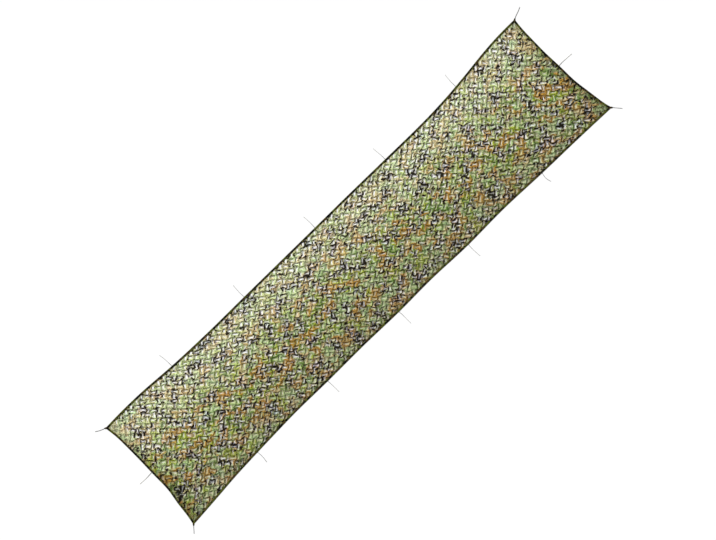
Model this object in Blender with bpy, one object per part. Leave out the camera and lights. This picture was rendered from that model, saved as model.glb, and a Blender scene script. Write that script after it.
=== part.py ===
"""Camouflage net, about 6 m by 1.35 m, pulled out flat on the ground.

One panel of slit cloth lies with its flat rim inside four folded edge tapes. Sixteen short tie
cords leave the tapes: five along each long side, one in the middle of each end and one at each
corner. Lengths are in metres. +X runs along the net, +Y across it and +Z up, and the ground is
z = 0 under the middle of the net. Seen from above with +X to the right, +Y is the far side.
"""

from typing import NamedTuple

import bmesh
import bpy
from mathutils import Vector

# Clearance left between pieces that touch.
GAP = 0.0003

# The panel: its slit field lies open on the ground, and its flat rim sits inside the tapes.
FIELD_HEIGHT = 0.003
RIM_THICKNESS = 0.001

# The edge tape is folded over the rim: a layer below, a layer above and the fold outside.
TAPE_WIDTH = 0.018
TAPE_THICKNESS = 0.001
RIM_BOTTOM = TAPE_THICKNESS + GAP
RIM_TOP = RIM_BOTTOM + RIM_THICKNESS
TAPE_HEIGHT = RIM_TOP + GAP + TAPE_THICKNESS

# The tie cords lie on the ground.
TIE_DIAMETER = 0.004
TIE_POINT_SPACING = 0.010
TIE_BEVEL_RESOLUTION = 2

# The outline's corners, going round by the right end, the near side and the left end.
FAR_RIGHT = Vector((2.967, 0.668))
NEAR_RIGHT = Vector((3.032, -0.675))
NEAR_LEFT = Vector((-3.032, -0.668))
FAR_LEFT = Vector((-2.972, 0.670))


class EdgeRow(NamedTuple):
    """One place along a side, and how far the pull of the cloth draws the edge in there."""

    share: float  # of the way from the side's first corner to its last
    inward: float  # metres in from the straight line between the two corners


class Side(NamedTuple):
    """One side of the outline, from corner to corner."""

    start: Vector
    end: Vector
    steps: int
    rows: tuple


RIGHT_END_ROWS = (
    EdgeRow(0.00, 0.000),
    EdgeRow(0.08, 0.018),
    EdgeRow(0.20, 0.031),
    EdgeRow(0.35, 0.043),
    EdgeRow(0.50, 0.045),
    EdgeRow(0.65, 0.051),
    EdgeRow(0.75, 0.041),
    EdgeRow(0.85, 0.029),
    EdgeRow(0.93, 0.019),
    EdgeRow(1.00, 0.000),
)
NEAR_SIDE_ROWS = (
    EdgeRow(0.00, 0.000),
    EdgeRow(0.08, 0.016),
    EdgeRow(0.16, 0.027),
    EdgeRow(0.25, 0.047),
    EdgeRow(0.34, 0.042),
    EdgeRow(0.42, 0.060),
    EdgeRow(0.50, 0.057),
    EdgeRow(0.58, 0.069),
    EdgeRow(0.67, 0.070),
    EdgeRow(0.74, 0.077),
    EdgeRow(0.80, 0.069),
    EdgeRow(0.84, 0.061),
    EdgeRow(0.89, 0.048),
    EdgeRow(0.94, 0.025),
    EdgeRow(1.00, 0.000),
)
LEFT_END_ROWS = (
    EdgeRow(0.00, 0.000),
    EdgeRow(0.08, 0.016),
    EdgeRow(0.20, 0.028),
    EdgeRow(0.33, 0.049),
    EdgeRow(0.50, 0.043),
    EdgeRow(0.65, 0.040),
    EdgeRow(0.80, 0.032),
    EdgeRow(0.90, 0.023),
    EdgeRow(1.00, 0.000),
)
FAR_SIDE_ROWS = (
    EdgeRow(0.00, 0.000),
    EdgeRow(0.04, -0.005),
    EdgeRow(0.09, 0.002),
    EdgeRow(0.16, 0.031),
    EdgeRow(0.24, 0.048),
    EdgeRow(0.33, 0.053),
    EdgeRow(0.41, 0.058),
    EdgeRow(0.50, 0.064),
    EdgeRow(0.58, 0.068),
    EdgeRow(0.67, 0.077),
    EdgeRow(0.76, 0.084),
    EdgeRow(0.82, 0.072),
    EdgeRow(0.87, 0.047),
    EdgeRow(0.92, 0.015),
    EdgeRow(0.96, 0.000),
    EdgeRow(1.00, 0.000),
)

LONG_STEPS = 72
END_STEPS = 20

# In order round the outline, so that each side ends where the next one starts.
SIDES = {
    "right": Side(FAR_RIGHT, NEAR_RIGHT, END_STEPS, RIGHT_END_ROWS),
    "near": Side(NEAR_RIGHT, NEAR_LEFT, LONG_STEPS, NEAR_SIDE_ROWS),
    "left": Side(NEAR_LEFT, FAR_LEFT, END_STEPS, LEFT_END_ROWS),
    "far": Side(FAR_LEFT, FAR_RIGHT, LONG_STEPS, FAR_SIDE_ROWS),
}

# Where each tie leaves the net and the places that it passes on the ground, to its free end.
TIE_ROUTES = {
    "tie_far_1": ((-2.037, 0.6402), (-2.039, 0.697), (-2.042, 0.752), (-2.051, 0.809)),
    "tie_far_2": ((-1.012, 0.6168), (-1.014, 0.672), (-1.012, 0.727), (-1.008, 0.781)),
    "tie_far_3": ((0.004, 0.6053), (0.006, 0.660), (0.005, 0.713), (0.001, 0.766)),
    "tie_far_4": ((1.012, 0.5921), (1.011, 0.649), (1.006, 0.704), (1.002, 0.759)),
    "tie_far_5": ((2.053, 0.6083), (2.051, 0.664), (2.054, 0.719), (2.060, 0.772)),
    "tie_right": ((2.9544, 0.010), (3.013, 0.012), (3.074, 0.009), (3.133, 0.005)),
    "tie_near_5": ((2.053, -0.6470), (2.043, -0.689), (2.044, -0.731), (2.056, -0.773)),
    "tie_near_4": ((0.997, -0.6313), (0.994, -0.687), (0.996, -0.743), (1.000, -0.799)),
    "tie_near_3": ((0.005, -0.6150), (0.009, -0.673), (0.008, -0.730), (0.009, -0.787)),
    "tie_near_2": ((-1.016, -0.6009), (-1.012, -0.654), (-1.011, -0.708), (-1.011, -0.761)),
    "tie_near_1": ((-2.042, -0.6079), (-2.038, -0.655), (-2.040, -0.702), (-2.047, -0.748)),
    "tie_left": ((-2.9591, 0.014), (-3.016, 0.012), (-3.073, 0.013), (-3.129, 0.016)),
    "tie_far_right": ((2.9674, 0.6684), (3.009, 0.687), (3.053, 0.702), (3.095, 0.721)),
    "tie_near_right": ((3.0324, -0.6754), (3.055, -0.703), (3.079, -0.731), (3.104, -0.761)),
    "tie_near_left": ((-3.0324, -0.6684), (-3.052, -0.691), (-3.073, -0.715), (-3.095, -0.739)),
    "tie_far_left": ((-2.9724, 0.6704), (-3.006, 0.684), (-3.040, 0.700), (-3.073, 0.721)),
}

# Finishes: colour, and roughness.
CLOTH_LOOK = ((0.235, 0.250, 0.125, 1.0), 0.85)
TAPE_LOOK = ((0.030, 0.036, 0.014, 1.0), 0.75)
TIE_LOOK = ((0.035, 0.035, 0.034, 1.0), 0.70)


def clear_scene():
    """Remove every object, so that the net stands alone."""
    for scene_object in list(bpy.data.objects):
        bpy.data.objects.remove(scene_object, do_unlink=True)


def make_material(name, look):
    """Return a plain cloth or cord material of the given colour and roughness."""
    colour, roughness = look
    material = bpy.data.materials.new(name)
    material.use_nodes = True
    shader = material.node_tree.nodes["Principled BSDF"]
    shader.inputs["Base Color"].default_value = colour
    shader.inputs["Roughness"].default_value = roughness
    shader.inputs["Metallic"].default_value = 0.0
    return material


def smooth_through(knots, values, places):
    """Read a smooth curve through values, which stand at rising knots, at each of the places."""
    last = len(knots) - 1
    slopes = []
    for i in range(last + 1):
        before, after = max(i - 1, 0), min(i + 1, last)
        slopes.append((values[after] - values[before]) / (knots[after] - knots[before]))
    read = []
    for place in places:
        i = 0
        while i < last - 1 and place > knots[i + 1]:
            i += 1
        width = knots[i + 1] - knots[i]
        t = (place - knots[i]) / width
        start_pull = (t**3 - 2 * t**2 + t) * width
        end_pull = (t**3 - t**2) * width
        rise = 3 * t**2 - 2 * t**3
        level = values[i] * (1 - rise) + values[i + 1] * rise
        read.append(level + slopes[i] * start_pull + slopes[i + 1] * end_pull)
    return read


def inward_of(direction):
    """Return the unit vector to the right of a direction, which is into the net."""
    return Vector((direction.y, -direction.x)).normalized()


def outer_edge(side):
    """Return the points of one side's outer edge, from corner to corner."""
    shares = [i / side.steps for i in range(side.steps + 1)]
    drawn_in = smooth_through([r.share for r in side.rows], [r.inward for r in side.rows], shares)
    inward = inward_of(side.end - side.start)
    return [side.start.lerp(side.end, s) + inward * d for s, d in zip(shares, drawn_in)]


def corner_reach(arriving, leaving):
    """Return how far a mitred corner point moves for each metre that both its edges move in."""
    first, second = inward_of(arriving), inward_of(leaving)
    return (first + second) / (1 + first.dot(second))


def edge_moved_in(name, distance):
    """Return one side's edge moved into the net by a distance, mitred at its corners."""
    names = list(SIDES)
    place = names.index(name)
    before = outer_edge(SIDES[names[place - 1]])
    points = outer_edge(SIDES[name])
    after = outer_edge(SIDES[names[(place + 1) % len(names)]])
    moved = [points[0] + corner_reach(before[-1] - before[-2], points[1] - points[0]) * distance]
    for i in range(1, len(points) - 1):
        moved.append(points[i] + inward_of(points[i + 1] - points[i - 1]) * distance)
    end_reach = corner_reach(points[-1] - points[-2], after[1] - after[0])
    moved.append(points[-1] + end_reach * distance)
    return moved


def skin_rings(name, rings, closed, material):
    """Make an object from rings of points, each joined to the next, with its ends capped.

    A closed set of rings is one that meets itself, which needs no caps.
    """
    mesh = bpy.data.meshes.new(name)
    build = bmesh.new()
    placed = [[build.verts.new(point) for point in ring] for ring in rings]
    pairs = list(zip(placed, placed[1:] + placed[:1]))
    if not closed:
        pairs = pairs[:-1]
        build.faces.new(placed[0])
        build.faces.new(placed[-1])
    for ring, following in pairs:
        for i in range(len(ring)):
            j = (i + 1) % len(ring)
            build.faces.new((ring[i], ring[j], following[j], following[i]))
    bmesh.ops.recalc_face_normals(build, faces=build.faces)
    build.to_mesh(mesh)
    build.free()
    mesh.materials.append(material)
    made = bpy.data.objects.new(name, mesh)
    bpy.context.scene.collection.objects.link(made)
    return made


def make_panel(material):
    """Make the cloth panel: a thick slit field, stepped down to the thin rim in the tapes."""

    def loop(distance, height):
        """Return the whole outline moved in by a distance, at a height, without doubled corners."""
        return [
            Vector((point.x, point.y, height))
            for side in SIDES
            for point in edge_moved_in(side, distance)[:-1]
        ]

    rim = TAPE_THICKNESS + GAP
    field = TAPE_WIDTH + GAP
    rings = [
        loop(field, 0.0),
        loop(field, RIM_BOTTOM),
        loop(rim, RIM_BOTTOM),
        loop(rim, RIM_TOP),
        loop(field, RIM_TOP),
        loop(field, FIELD_HEIGHT),
    ]
    return skin_rings("net_panel", rings, False, material)


def make_tape(side, material):
    """Make one side's folded tape: a channel that opens into the net, mitred at its ends."""
    fold = TAPE_THICKNESS
    section = (
        (0.0, 0.0),
        (TAPE_WIDTH, 0.0),
        (TAPE_WIDTH, fold),
        (fold, fold),
        (fold, TAPE_HEIGHT - fold),
        (TAPE_WIDTH, TAPE_HEIGHT - fold),
        (TAPE_WIDTH, TAPE_HEIGHT),
        (0.0, TAPE_HEIGHT),
    )
    paths = {distance: edge_moved_in(side, distance) for distance in (0.0, fold, TAPE_WIDTH)}
    for path in paths.values():
        path[0] = path[0] + (path[1] - path[0]).normalized() * GAP
        path[-1] = path[-1] + (path[-2] - path[-1]).normalized() * GAP
    rings = [
        [Vector((paths[distance][i].x, paths[distance][i].y, height)) for distance, height in section]
        for i in range(SIDES[side].steps + 1)
    ]
    return skin_rings("tape_" + side, rings, False, material)


def make_tie(name, route, material):
    """Make one tie cord, lying on the ground along a smooth curve through its route."""
    knots = [0.0]
    for (x0, y0), (x1, y1) in zip(route, route[1:]):
        knots.append(knots[-1] + Vector((x1 - x0, y1 - y0)).length)
    count = max(2, round(knots[-1] / TIE_POINT_SPACING)) + 1
    places = [knots[-1] * i / (count - 1) for i in range(count)]
    xs = smooth_through(knots, [x for x, _ in route], places)
    ys = smooth_through(knots, [y for _, y in route], places)
    curve = bpy.data.curves.new(name, "CURVE")
    curve.dimensions = "3D"
    curve.bevel_depth = TIE_DIAMETER / 2
    curve.bevel_resolution = TIE_BEVEL_RESOLUTION
    curve.use_fill_caps = True
    spline = curve.splines.new("POLY")
    spline.points.add(count - 1)
    for point, x, y in zip(spline.points, xs, ys):
        point.co = (x, y, TIE_DIAMETER / 2, 1.0)
    curve.materials.append(material)
    made = bpy.data.objects.new(name, curve)
    bpy.context.scene.collection.objects.link(made)
    return made


def main():
    """Build the whole net."""
    clear_scene()
    make_panel(make_material("slit_cloth", CLOTH_LOOK))
    tape_material = make_material("edge_tape", TAPE_LOOK)
    for side in SIDES:
        make_tape(side, tape_material)
    tie_material = make_material("tie_cord", TIE_LOOK)
    for name, route in TIE_ROUTES.items():
        make_tie(name, route, tie_material)


main()
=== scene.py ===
"""Camouflage net, pulled out flat on a pale studio floor: its looks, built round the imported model.

A slit cloth panel lies open in four folded edge tapes, which are sewn through along their inner
edge. Sixteen braided tie cords are tacked onto the tapes and lie out on the floor with free ends.
Metres throughout. +X runs along the net, +Y across it to its far side and +Z up from the floor.
"""

from __future__ import annotations

import bisect
import logging
import math
import random
from dataclasses import dataclass, field, replace
from enum import Enum

import bpy
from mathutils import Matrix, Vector, noise


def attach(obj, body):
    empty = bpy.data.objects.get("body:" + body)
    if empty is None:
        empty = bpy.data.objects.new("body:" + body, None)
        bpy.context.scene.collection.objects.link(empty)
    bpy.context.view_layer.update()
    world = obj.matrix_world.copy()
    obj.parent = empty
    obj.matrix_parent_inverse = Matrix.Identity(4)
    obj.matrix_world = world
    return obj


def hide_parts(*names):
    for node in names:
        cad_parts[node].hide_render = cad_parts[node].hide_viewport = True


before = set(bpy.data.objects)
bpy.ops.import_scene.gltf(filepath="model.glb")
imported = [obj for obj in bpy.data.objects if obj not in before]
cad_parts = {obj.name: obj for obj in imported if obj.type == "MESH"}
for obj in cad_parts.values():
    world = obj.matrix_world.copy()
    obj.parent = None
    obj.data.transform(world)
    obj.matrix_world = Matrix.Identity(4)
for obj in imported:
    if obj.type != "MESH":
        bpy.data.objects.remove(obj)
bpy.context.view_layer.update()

log = logging.getLogger("camouflage_net")

BODY = "root"
CUT_MAP = "cut_cloth"

# How high the folded edge tape stands, and the cloth's rim between its two layers.
TAPE_HEIGHT = 0.0036
RIM_HEIGHT = TAPE_HEIGHT / 2

# The cloth as it was cut, before its slits were pulled open.
CUT_LENGTH = 5.45
CUT_WIDTH = 1.20

Point = tuple[float, float]
Place = tuple[float, float, float]


class SideName(Enum):
    """The sides of the net, in order round its outline from the far right corner."""

    RIGHT = "right"
    NEAR = "near"
    LEFT = "left"
    FAR = "far"


@dataclass(frozen=True)
class EdgeRow:
    """One place along a side, and how far the pull of the cloth draws the edge in there."""

    share: float
    inward: float


def edge_rows(*rows: Point) -> tuple[EdgeRow, ...]:
    """Return the rows of one side, each given as its share and how far in it is."""
    return tuple(EdgeRow(share, inward) for share, inward in rows)


@dataclass(frozen=True)
class Side:
    """One side of the outline: its first and last corner, and the rows between them."""

    start: Point
    end: Point
    steps: int
    rows: tuple[EdgeRow, ...]


FAR_RIGHT = (2.967, 0.668)
NEAR_RIGHT = (3.032, -0.675)
NEAR_LEFT = (-3.032, -0.668)
FAR_LEFT = (-2.972, 0.670)

RIGHT_ROWS = edge_rows(
    (0.00, 0.000), (0.08, 0.018), (0.20, 0.031), (0.35, 0.043), (0.50, 0.045),
    (0.65, 0.051), (0.75, 0.041), (0.85, 0.029), (0.93, 0.019), (1.00, 0.000),
)
NEAR_ROWS = edge_rows(
    (0.00, 0.000), (0.08, 0.016), (0.16, 0.027), (0.25, 0.047), (0.34, 0.042),
    (0.42, 0.060), (0.50, 0.057), (0.58, 0.069), (0.67, 0.070), (0.74, 0.077),
    (0.80, 0.069), (0.84, 0.061), (0.89, 0.048), (0.94, 0.025), (1.00, 0.000),
)
LEFT_ROWS = edge_rows(
    (0.00, 0.000), (0.08, 0.016), (0.20, 0.028), (0.33, 0.049), (0.50, 0.043),
    (0.65, 0.040), (0.80, 0.032), (0.90, 0.023), (1.00, 0.000),
)
FAR_ROWS = edge_rows(
    (0.00, 0.000), (0.04, -0.005), (0.09, 0.002), (0.16, 0.031), (0.24, 0.048),
    (0.33, 0.053), (0.41, 0.058), (0.50, 0.064), (0.58, 0.068), (0.67, 0.077),
    (0.76, 0.084), (0.82, 0.072), (0.87, 0.047), (0.92, 0.015), (0.96, 0.000),
    (1.00, 0.000),
)

SIDES = {
    SideName.RIGHT: Side(FAR_RIGHT, NEAR_RIGHT, 20, RIGHT_ROWS),
    SideName.NEAR: Side(NEAR_RIGHT, NEAR_LEFT, 72, NEAR_ROWS),
    SideName.LEFT: Side(NEAR_LEFT, FAR_LEFT, 20, LEFT_ROWS),
    SideName.FAR: Side(FAR_LEFT, FAR_RIGHT, 72, FAR_ROWS),
}

# Painted light: how much lighter each side's tape is painted for the light that falls on that side, from 0
# to 1.
SIDE_TAPE_LIGHT = {
    SideName.RIGHT: 0.0,
    SideName.NEAR: 1.0,
    SideName.LEFT: 0.0,
    SideName.FAR: 0.6,
}

# Where each tie leaves the net and the places that it passes on the floor, to its free end.
TIE_ROUTES = {
    "tie_far_1": ((-2.037, 0.6402), (-2.039, 0.697), (-2.042, 0.752), (-2.051, 0.809)),
    "tie_far_2": ((-1.012, 0.6168), (-1.014, 0.672), (-1.012, 0.727), (-1.008, 0.781)),
    "tie_far_3": ((0.004, 0.6053), (0.006, 0.660), (0.005, 0.713), (0.001, 0.766)),
    "tie_far_4": ((1.012, 0.5921), (1.011, 0.649), (1.006, 0.704), (1.002, 0.759)),
    "tie_far_5": ((2.053, 0.6083), (2.051, 0.664), (2.054, 0.719), (2.060, 0.772)),
    "tie_right": ((2.9544, 0.010), (3.013, 0.012), (3.074, 0.009), (3.133, 0.005)),
    "tie_near_5": ((2.053, -0.6470), (2.043, -0.689), (2.044, -0.731), (2.056, -0.773)),
    "tie_near_4": ((0.997, -0.6313), (0.994, -0.687), (0.996, -0.743), (1.000, -0.799)),
    "tie_near_3": ((0.005, -0.6150), (0.009, -0.673), (0.008, -0.730), (0.009, -0.787)),
    "tie_near_2": ((-1.016, -0.6009), (-1.012, -0.654), (-1.011, -0.708), (-1.011, -0.761)),
    "tie_near_1": ((-2.042, -0.6079), (-2.038, -0.655), (-2.040, -0.702), (-2.047, -0.748)),
    "tie_left": ((-2.9591, 0.014), (-3.016, 0.012), (-3.073, 0.013), (-3.129, 0.016)),
    "tie_far_right": ((2.9674, 0.6684), (3.009, 0.687), (3.053, 0.702), (3.095, 0.721)),
    "tie_near_right": ((3.0324, -0.6754), (3.055, -0.703), (3.079, -0.731), (3.104, -0.761)),
    "tie_near_left": ((-3.0324, -0.6684), (-3.052, -0.691), (-3.073, -0.715), (-3.095, -0.739)),
    "tie_far_left": ((-2.9724, 0.6704), (-3.006, 0.684), (-3.040, 0.700), (-3.073, 0.721)),
}

# The tie at the corner where each side starts.
CORNER_TIES = {
    SideName.RIGHT: "tie_far_right",
    SideName.NEAR: "tie_near_right",
    SideName.LEFT: "tie_near_left",
    SideName.FAR: "tie_far_left",
}


def smooth_through(knots: list[float], values: list[float], places: list[float]) -> list[float]:
    """Read a smooth curve that passes through values standing at rising knots.

    Args:
        knots: Rising places of the values.
        values: The curve's value at each knot.
        places: Where to read the curve.

    Returns:
        The curve's value at each of the places.
    """
    last = len(knots) - 1
    slopes = []
    for i in range(last + 1):
        before, after = max(i - 1, 0), min(i + 1, last)
        slopes.append((values[after] - values[before]) / (knots[after] - knots[before]))
    read = []
    for place in places:
        i = 0
        while i < last - 1 and place > knots[i + 1]:
            i += 1
        width = knots[i + 1] - knots[i]
        t = (place - knots[i]) / width
        rise = 3 * t**2 - 2 * t**3
        level = values[i] * (1 - rise) + values[i + 1] * rise
        pull = slopes[i] * (t**3 - 2 * t**2 + t) + slopes[i + 1] * (t**3 - t**2)
        read.append(level + pull * width)
    return read


def clamp(value: float, low: float = 0.0, high: float = 1.0) -> float:
    """Return a value kept between a lowest and a highest one."""
    return max(low, min(high, value))


def ease(value: float) -> float:
    """Return a smooth step from 0 to 1 of a value that runs from 0 to 1."""
    t = clamp(value)
    return t * t * (3 - 2 * t)


def between(start: float, end: float, share: float) -> float:
    """Return the value at a share of the way from a start to an end."""
    return start + (end - start) * share


def ripple(x: float, y: float, sizes: Point, level: float) -> float:
    """Return smooth noise from -1 to 1, whose swings have a size each way, at one level of it."""
    return noise.noise(Vector((x / sizes[0], y / sizes[1], level)))


def inward_of(direction: Vector) -> Vector:
    """Return the unit vector to the right of a direction, which is into the net."""
    return Vector((direction.y, -direction.x)).normalized()


class Outline:
    """The net's outer edge, as its sides run round it, and lines parallel to it inside."""

    def __init__(self) -> None:
        """Work out the points of every side's outer edge."""
        self.names = list(SIDES)
        self.edges = {name: self._outer_edge(side) for name, side in SIDES.items()}

    @staticmethod
    def _outer_edge(side: Side) -> list[Vector]:
        """Return the points of one side's outer edge, from corner to corner.

        Args:
            side: The side's corners and rows.

        Returns:
            One point for each step along the side, and one more.
        """
        shares = [i / side.steps for i in range(side.steps + 1)]
        places = [row.share for row in side.rows]
        drawn_in = smooth_through(places, [row.inward for row in side.rows], shares)
        start, end = Vector(side.start), Vector(side.end)
        inward = inward_of(end - start)
        return [start.lerp(end, s) + inward * d for s, d in zip(shares, drawn_in)]

    def corner_reach(self, name: SideName) -> Vector:
        """Work out how the edges of two sides meet where one of them starts.

        Args:
            name: The side that starts at the corner.

        Returns:
            How far the mitre at the corner reaches in for each metre of width.
        """
        before = self.edges[self.names[self.names.index(name) - 1]]
        points = self.edges[name]
        first = inward_of(before[-1] - before[-2])
        second = inward_of(points[1] - points[0])
        return (first + second) / (1 + first.dot(second))

    def next_side(self, name: SideName) -> SideName:
        """Return the side that starts where this one ends."""
        return self.names[(self.names.index(name) + 1) % len(self.names)]

    def moved_in(self, name: SideName, distance: float) -> list[Vector]:
        """Return one side's edge moved into the net, mitred at its corners.

        Args:
            name: The side.
            distance: How far in from the outer edge, in metres.

        Returns:
            The moved points, from corner to corner.
        """
        points = self.edges[name]
        moved = [points[0] + self.corner_reach(name) * distance]
        for before, point, after in zip(points, points[1:], points[2:]):
            moved.append(point + inward_of(after - before) * distance)
        moved.append(points[-1] + self.corner_reach(self.next_side(name)) * distance)
        return moved

    def dense(self, name: SideName, distance: float) -> "EdgeLine":
        """Return one side's edge moved in by a distance, ready to be read at any share of it."""
        return EdgeLine(self.moved_in(name, distance))


class EdgeLine:
    """A line through many close points, read by the share of its length."""

    def __init__(self, points: list[Vector]) -> None:
        """Measure the line.

        Args:
            points: The line's points, in order.
        """
        self.points = points
        self.marks = [0.0]
        for a, b in zip(points, points[1:]):
            self.marks.append(self.marks[-1] + (b - a).length)
        self.length = self.marks[-1]

    def at(self, share: float) -> Vector:
        """Read the line.

        Args:
            share: How far along the line, from 0 to 1.

        Returns:
            The point there.
        """
        mark = clamp(share) * self.length
        i = bisect.bisect_right(self.marks, mark, 1, len(self.marks) - 1) - 1
        t = (mark - self.marks[i]) / (self.marks[i + 1] - self.marks[i])
        return self.points[i].lerp(self.points[i + 1], t)

    def reversed(self) -> "EdgeLine":
        """Return the same line, run the other way."""
        return EdgeLine(self.points[::-1])


@dataclass(frozen=True)
class Paint:
    """An sRGB colour, as numbers from 0 to 255."""

    red: float
    green: float
    blue: float

    def linear(self) -> tuple[float, float, float, float]:
        """Turn the colour into the linear form that a shader takes.

        Returns:
            Its red, green and blue parts and its alpha, from 0 to 1.
        """
        parts = []
        for part in (self.red, self.green, self.blue):
            v = part / 255
            parts.append(v / 12.92 if v <= 0.04045 else ((v + 0.055) / 1.055) ** 2.4)
        return (parts[0], parts[1], parts[2], 1.0)


WHITE = Paint(255, 255, 255)

Socket = bpy.types.NodeSocket
Feed = Socket | Paint | float | tuple[float, ...]


class Dye:
    """A material under construction: a Principled shader and the nodes that feed it."""

    def __init__(self, name: str, **evenly: float) -> None:
        """Start a material.

        Args:
            name: The material's name.
            **evenly: What is the same all over, by the shader's own names in small letters.
        """
        self.material = bpy.data.materials.new(name)
        self.material.use_nodes = True
        self.tree = self.material.node_tree
        self.shader = self.tree.nodes["Principled BSDF"]
        for socket in self.shader.inputs:
            key = socket.name.lower().replace(" ", "_")
            if key in evenly:
                socket.default_value = evenly[key]

    def feed(self, target: Socket, source: Feed) -> None:
        """Join an output to an input, or set the input to a colour or to a number.

        Args:
            target: The input.
            source: The output, the colour or the number.
        """
        if isinstance(source, Socket):
            self.tree.links.new(source, target)
        else:
            target.default_value = source.linear() if isinstance(source, Paint) else source

    def node(self, kind: str, feeds: dict[str | int, Feed], **settings: str | bool) -> bpy.types.Node:
        """Add a node.

        Args:
            kind: The kind of node.
            feeds: What each of its inputs gets.
            **settings: Its named properties.

        Returns:
            The node.
        """
        made = self.tree.nodes.new(kind)
        for name, value in settings.items():
            setattr(made, name, value)
        for name, source in feeds.items():
            self.feed(made.inputs[name], source)
        return made

    def cloth_place(self) -> Socket:
        """Return the place on the cut cloth, in metres, from the piece's own UV map."""
        return self.node("ShaderNodeUVMap", {}, uv_map=CUT_MAP).outputs["UV"]

    def object_place(self) -> Socket:
        """Return the place in the piece's own space, in metres."""
        return self.node("ShaderNodeTexCoord", {}).outputs["Object"]

    def attribute(self, name: str) -> Socket:
        """Return a value that the piece's mesh carries at its points."""
        return self.node("ShaderNodeAttribute", {}, attribute_name=name).outputs["Fac"]

    def moved(self, place: Socket, offset: Point, turn: float = 0.0, scale: Point = (1, 1)) -> Socket:
        """Return a place moved, turned and stretched, so that patterns from it don't fall together.

        Args:
            place: The place to start from.
            offset: How far to move it, in metres.
            turn: How far to turn it, in degrees.
            scale: How much to stretch it each way.

        Returns:
            The moved place.
        """
        feeds = {
            "Vector": place,
            "Location": (*offset, 0),
            "Rotation": (0, 0, math.radians(turn)),
            "Scale": (*scale, 1),
        }
        return self.node("ShaderNodeMapping", feeds).outputs["Vector"]

    def noise(self, place: Socket, size: float, detail: float, rough: float = 0.5) -> bpy.types.Node:
        """Add flat noise whose swings are about a size across, in metres, with finer ones in them."""
        feeds = {"Vector": place, "Scale": 1 / size, "Detail": detail, "Roughness": rough}
        return self.node("ShaderNodeTexNoise", feeds, noise_dimensions="2D")

    def blotches(self, place: Socket, size: float, detail: float = 1.0, rough: float = 0.5) -> Socket:
        """Return a soft random field whose blotches are about a size across, in metres."""
        return self.noise(place, size, detail, rough).outputs["Fac"]

    def vector(self, operation: str, *sources: Feed) -> Socket:
        """Return what a Vector Math node makes of its inputs."""
        made = self.node("ShaderNodeVectorMath", dict(enumerate(sources)), operation=operation)
        return made.outputs["Vector"]

    def warped(self, place: Socket, size: float, reach: float) -> Socket:
        """Return a place pushed about at random by up to about a reach, both in metres."""
        swings = self.noise(place, size, 2.0).outputs["Color"]
        centred = self.vector("SUBTRACT", swings, (0.5, 0.5, 0.5))
        return self.vector("ADD", place, self.vector("MULTIPLY", centred, (reach * 4,) * 3))

    def step(self, field: Socket, start: float, end: float) -> Socket:
        """Return 0 before a field reaches start, 1 once it reaches end, and a smooth rise between."""
        feeds = {"Value": field, "From Min": start, "From Max": end}
        made = self.node("ShaderNodeMapRange", feeds, interpolation_type="SMOOTHSTEP")
        return made.outputs["Result"]

    def times(self, a: Socket, b: Socket | float) -> Socket:
        """Return the product of two fields, or of a field and a number."""
        return self.node("ShaderNodeMath", {0: a, 1: b}, operation="MULTIPLY").outputs["Value"]

    def plus(self, a: Socket, b: Socket | float) -> Socket:
        """Return the sum of two fields, or of a field and a number."""
        return self.node("ShaderNodeMath", {0: a, 1: b}, operation="ADD").outputs["Value"]

    def mixed(self, share: Socket, under: Socket | Paint, over: Socket | Paint) -> Socket:
        """Return one colour laid over another where a share says.

        Args:
            share: From 0, under only, to 1, over only.
            under: The colour below.
            over: The colour on top.

        Returns:
            The mixed colour.
        """
        feeds = {"Factor": share, "A": under, "B": over}
        return self.node("ShaderNodeMix", feeds, data_type="RGBA").outputs["Result"]

    def laid_over(self, colour: Socket, tint: Socket) -> Socket:
        """Return a colour multiplied by a tint."""
        feeds = {"Factor": 1.0, "A": colour, "B": tint}
        settings = {"data_type": "RGBA", "blend_type": "MULTIPLY", "clamp_result": True}
        return self.node("ShaderNodeMix", feeds, **settings).outputs["Result"]

    def uneven_hue(self, colour: Socket, place: Socket, size: float, strength: float) -> Socket:
        """Return a colour whose red, green and blue each drift a little from place to place.

        Args:
            colour: The colour to vary.
            place: The place on the cloth, in metres.
            size: About how far across each drift is, in metres.
            strength: How strong the drifts are, from 0 to 1.

        Returns:
            The uneven colour.
        """
        swings = self.noise(place, size, 1.0).outputs["Color"]
        tint = self.vector("MULTIPLY_ADD", swings, (2 * strength,) * 3, (1 - strength,) * 3)
        return self.laid_over(colour, tint)

    def weave(self, place: Socket, pitch: float) -> Socket:
        """Return the bumps of a plain weave, warp over weft and weft over warp.

        Args:
            place: The place on the cloth, in metres.
            pitch: How far apart its threads are, in metres.

        Returns:
            The height of the threads, from 0 to 1.
        """
        swings = []
        for direction in ("X", "Y"):
            scale = math.pi / (20 * pitch)
            feeds = {"Vector": place, "Scale": scale, "Distortion": 0.4, "Detail": 1.0}
            wave = self.node("ShaderNodeTexWave", feeds, bands_direction=direction)
            swings.append(self.plus(wave.outputs["Fac"], -0.5))
        return self.plus(self.times(self.times(swings[0], swings[1]), 2.0), 0.5)

    def finish(self, colour: Socket, height: Socket, depth: float) -> bpy.types.Material:
        """Join the colour and a fine relief to the shader.

        Args:
            colour: The colour all over.
            height: The relief, from 0 to 1.
            depth: What a relief of 1 stands up by, in metres.

        Returns:
            The finished material.
        """
        bump = self.node("ShaderNodeBump", {"Distance": depth, "Height": height})
        self.feed(self.shader.inputs["Base Color"], colour)
        self.feed(self.shader.inputs["Normal"], bump.outputs["Normal"])
        return self.material


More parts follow.
